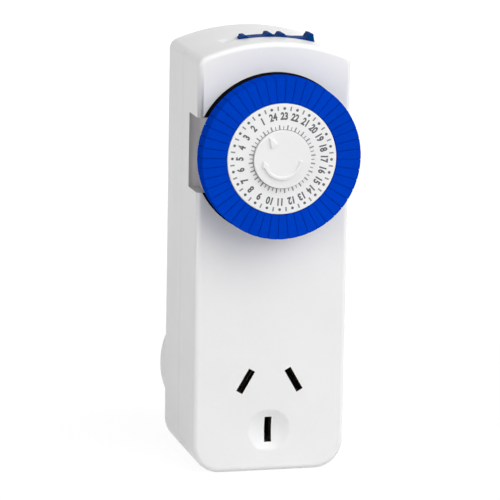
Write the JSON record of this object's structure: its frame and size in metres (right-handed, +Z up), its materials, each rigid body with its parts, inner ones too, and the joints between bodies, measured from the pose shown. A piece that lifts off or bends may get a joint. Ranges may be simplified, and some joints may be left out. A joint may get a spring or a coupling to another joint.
{
  "type": "plug in timer switch",
  "caption": "White wall-plug mechanical 24 hour timer with a blue segment dial, a pass-through three-pin socket below it and an override slider on the arched top.",
  "frame": {"origin": "centre of the pin pattern on the face that meets the wall outlet", "axes": "+X to the right seen from the dial, +Y into the wall along the pins, +Z up"},
  "size_m": [0.0446, 0.074, 0.1218],
  "materials": {
    "case_white": "satin",
    "dial_white": "satin",
    "tappet_blue": "satin",
    "slider_blue": "satin",
    "nylon": "satin",
    "dark_plastic": "satin",
    "brass": "polished",
    "steel": "brushed",
    "ferrite": "matte",
    "copper": "satin"
  },
  "bodies": {
    "case": {"front_housing": "case_white", "rear_housing": "case_white", "housing_screws": "steel", "inner_chassis": "nylon", "live_pins": "brass", "earth_pin": "brass", "pin_sleeves": "dark_plastic", "pin_block": "nylon", "active_clip": "brass", "neutral_clip": "brass", "earth_clip": "brass", "supply_strip": "brass", "fixed_contact": "brass", "motor_can": "steel", "motor_cover": "steel", "coil_bobbin": "dial_white", "coil_winding": "copper", "coil_leads": "dark_plastic", "gear_studs": "steel", "dial_post": "steel", "pointer_cap": "dial_white"},
    "rotor": {"rotor_magnet": "ferrite", "rotor_pinion": "steel"},
    "first_gear": {"first_gear": "nylon"},
    "second_gear": {"second_gear": "nylon"},
    "third_gear": {"third_gear": "nylon"},
    "fourth_gear": {"fourth_gear": "nylon"},
    "fifth_gear": {"fifth_gear": "nylon"},
    "drive_wheel": {"drive_wheel": "nylon"},
    "dial": {"dial_carrier": "case_white", "number_disc": "dial_white", "clutch_spring": "steel"},
    "follower": {"follower_pin": "nylon"},
    "timer_leaf": {"timer_leaf": "brass"},
    "override_leaf": {"override_leaf": "brass"},
    "override_slider": {"override_slider": "slider_blue"},
    "hour_00_tappets": {"hour_00_tappets": "tappet_blue"},
    "hour_01_tappets": {"hour_01_tappets": "tappet_blue"},
    "hour_02_tappets": {"hour_02_tappets": "tappet_blue"},
    "hour_03_tappets": {"hour_03_tappets": "tappet_blue"},
    "hour_04_tappets": {"hour_04_tappets": "tappet_blue"},
    "hour_05_tappets": {"hour_05_tappets": "tappet_blue"},
    "hour_06_tappets": {"hour_06_tappets": "tappet_blue"},
    "hour_07_tappets": {"hour_07_tappets": "tappet_blue"},
    "hour_08_tappets": {"hour_08_tappets": "tappet_blue"},
    "hour_09_tappets": {"hour_09_tappets": "tappet_blue"},
    "hour_10_tappets": {"hour_10_tappets": "tappet_blue"},
    "hour_11_tappets": {"hour_11_tappets": "tappet_blue"},
    "hour_12_tappets": {"hour_12_tappets": "tappet_blue"},
    "hour_13_tappets": {"hour_13_tappets": "tappet_blue"},
    "hour_14_tappets": {"hour_14_tappets": "tappet_blue"},
    "hour_15_tappets": {"hour_15_tappets": "tappet_blue"},
    "hour_16_tappets": {"hour_16_tappets": "tappet_blue"},
    "hour_17_tappets": {"hour_17_tappets": "tappet_blue"},
    "hour_18_tappets": {"hour_18_tappets": "tappet_blue"},
    "hour_19_tappets": {"hour_19_tappets": "tappet_blue"},
    "hour_20_tappets": {"hour_20_tappets": "tappet_blue"},
    "hour_21_tappets": {"hour_21_tappets": "tappet_blue"},
    "hour_22_tappets": {"hour_22_tappets": "tappet_blue"},
    "hour_23_tappets": {"hour_23_tappets": "tappet_blue"}
  },
  "joints": [
    {"name": "rotor_turn", "type": "hinge", "parent": "case", "child": "rotor", "pos_m": [0.0042, -0.03, 0.0674], "axis": [0, 1, 0], "continuous": true},
    {"name": "first_gear_turn", "type": "hinge", "parent": "case", "child": "first_gear", "pos_m": [0.00895, -0.036, 0.07073], "axis": [0, 1, 0], "continuous": true},
    {"name": "second_gear_turn", "type": "hinge", "parent": "case", "child": "second_gear", "pos_m": [0.01013, -0.036, 0.06403], "axis": [0, 1, 0], "continuous": true},
    {"name": "third_gear_turn", "type": "hinge", "parent": "case", "child": "third_gear", "pos_m": [0.00767, -0.036, 0.05726], "axis": [0, 1, 0], "continuous": true},
    {"name": "fourth_gear_turn", "type": "hinge", "parent": "case", "child": "fourth_gear", "pos_m": [0.00143, -0.036, 0.05366], "axis": [0, 1, 0], "continuous": true},
    {"name": "fifth_gear_turn", "type": "hinge", "parent": "case", "child": "fifth_gear", "pos_m": [-0.00573, -0.036, 0.05296], "axis": [0, 1, 0], "continuous": true},
    {"name": "drive_wheel_turn", "type": "hinge", "parent": "case", "child": "drive_wheel", "pos_m": [0, -0.041, 0.0679], "axis": [0, 1, 0], "continuous": true},
    {"name": "dial_turn", "type": "hinge", "parent": "drive_wheel", "child": "dial", "pos_m": [0, -0.044, 0.0679], "axis": [0, 1, 0], "continuous": true},
    {"name": "hour_00_press", "type": "slide", "parent": "dial", "child": "hour_00_tappets", "axis": [0, 1, 0], "range_m": [0, 0.002]},
    {"name": "hour_01_press", "type": "slide", "parent": "dial", "child": "hour_01_tappets", "axis": [0, 1, 0], "range_m": [0, 0.002]},
    {"name": "hour_02_press", "type": "slide", "parent": "dial", "child": "hour_02_tappets", "axis": [0, 1, 0], "range_m": [0, 0.002]},
    {"name": "hour_03_press", "type": "slide", "parent": "dial", "child": "hour_03_tappets", "axis": [0, 1, 0], "range_m": [0, 0.002]},
    {"name": "hour_04_press", "type": "slide", "parent": "dial", "child": "hour_04_tappets", "axis": [0, 1, 0], "range_m": [0, 0.002]},
    {"name": "hour_05_press", "type": "slide", "parent": "dial", "child": "hour_05_tappets", "axis": [0, 1, 0], "range_m": [0, 0.002]},
    {"name": "hour_06_press", "type": "slide", "parent": "dial", "child": "hour_06_tappets", "axis": [0, 1, 0], "range_m": [0, 0.002]},
    {"name": "hour_07_press", "type": "slide", "parent": "dial", "child": "hour_07_tappets", "axis": [0, 1, 0], "range_m": [0, 0.002]},
    {"name": "hour_08_press", "type": "slide", "parent": "dial", "child": "hour_08_tappets", "axis": [0, 1, 0], "range_m": [0, 0.002]},
    {"name": "hour_09_press", "type": "slide", "parent": "dial", "child": "hour_09_tappets", "axis": [0, 1, 0], "range_m": [0, 0.002]},
    {"name": "hour_10_press", "type": "slide", "parent": "dial", "child": "hour_10_tappets", "axis": [0, 1, 0], "range_m": [0, 0.002]},
    {"name": "hour_11_press", "type": "slide", "parent": "dial", "child": "hour_11_tappets", "axis": [0, 1, 0], "range_m": [0, 0.002]},
    {"name": "hour_12_press", "type": "slide", "parent": "dial", "child": "hour_12_tappets", "axis": [0, 1, 0], "range_m": [0, 0.002]},
    {"name": "hour_13_press", "type": "slide", "parent": "dial", "child": "hour_13_tappets", "axis": [0, 1, 0], "range_m": [0, 0.002]},
    {"name": "hour_14_press", "type": "slide", "parent": "dial", "child": "hour_14_tappets", "axis": [0, 1, 0], "range_m": [0, 0.002]},
    {"name": "hour_15_press", "type": "slide", "parent": "dial", "child": "hour_15_tappets", "axis": [0, 1, 0], "range_m": [0, 0.002]},
    {"name": "hour_16_press", "type": "slide", "parent": "dial", "child": "hour_16_tappets", "axis": [0, 1, 0], "range_m": [0, 0.002]},
    {"name": "hour_17_press", "type": "slide", "parent": "dial", "child": "hour_17_tappets", "axis": [0, 1, 0], "range_m": [0, 0.002]},
    {"name": "hour_18_press", "type": "slide", "parent": "dial", "child": "hour_18_tappets", "axis": [0, 1, 0], "range_m": [0, 0.002]},
    {"name": "hour_19_press", "type": "slide", "parent": "dial", "child": "hour_19_tappets", "axis": [0, 1, 0], "range_m": [0, 0.002]},
    {"name": "hour_20_press", "type": "slide", "parent": "dial", "child": "hour_20_tappets", "axis": [0, 1, 0], "range_m": [0, 0.002]},
    {"name": "hour_21_press", "type": "slide", "parent": "dial", "child": "hour_21_tappets", "axis": [0, 1, 0], "range_m": [0, 0.002]},
    {"name": "hour_22_press", "type": "slide", "parent": "dial", "child": "hour_22_tappets", "axis": [0, 1, 0], "range_m": [0, 0.002]},
    {"name": "hour_23_press", "type": "slide", "parent": "dial", "child": "hour_23_tappets", "axis": [0, 1, 0], "range_m": [0, 0.002]},
    {"name": "follower_press", "type": "slide", "parent": "case", "child": "follower", "axis": [0, 1, 0], "range_m": [0, 0.0016], "stiffness_N_per_m": 200, "springref_m": -0.0005},
    {"name": "timer_leaf_bend", "type": "hinge", "parent": "case", "child": "timer_leaf", "pos_m": [0.0086, -0.03105, 0.0842], "axis": [0, 0, 1], "range_deg": [-5.31, 0]},
    {"name": "override_slide", "type": "hinge", "parent": "case", "child": "override_slider", "pos_m": [0, -0.0316, 0.0447], "axis": [0, 1, 0], "range_deg": [-5.5, 0]},
    {"name": "override_leaf_bend", "type": "hinge", "parent": "case", "child": "override_leaf", "pos_m": [0.0086, -0.03105, 0.0901], "axis": [0, 0, 1], "range_deg": [-6.31, 0]}
  ],
  "couplings": [
    {"joint": "first_gear_turn", "follows": "rotor_turn", "ratio": -0.16},
    {"joint": "second_gear_turn", "follows": "rotor_turn", "ratio": 0.021333},
    {"joint": "third_gear_turn", "follows": "rotor_turn", "ratio": -0.0026667},
    {"joint": "fourth_gear_turn", "follows": "rotor_turn", "ratio": 0.00033333},
    {"joint": "fifth_gear_turn", "follows": "rotor_turn", "ratio": -0.000041667},
    {"joint": "drive_wheel_turn", "follows": "rotor_turn", "ratio": 0.0000027778},
    {"joint": "timer_leaf_bend", "follows": "follower_press", "rad_per_m": -57.663},
    {"joint": "override_leaf_bend", "follows": "override_slide", "ratio": 1.1434}
  ]
}
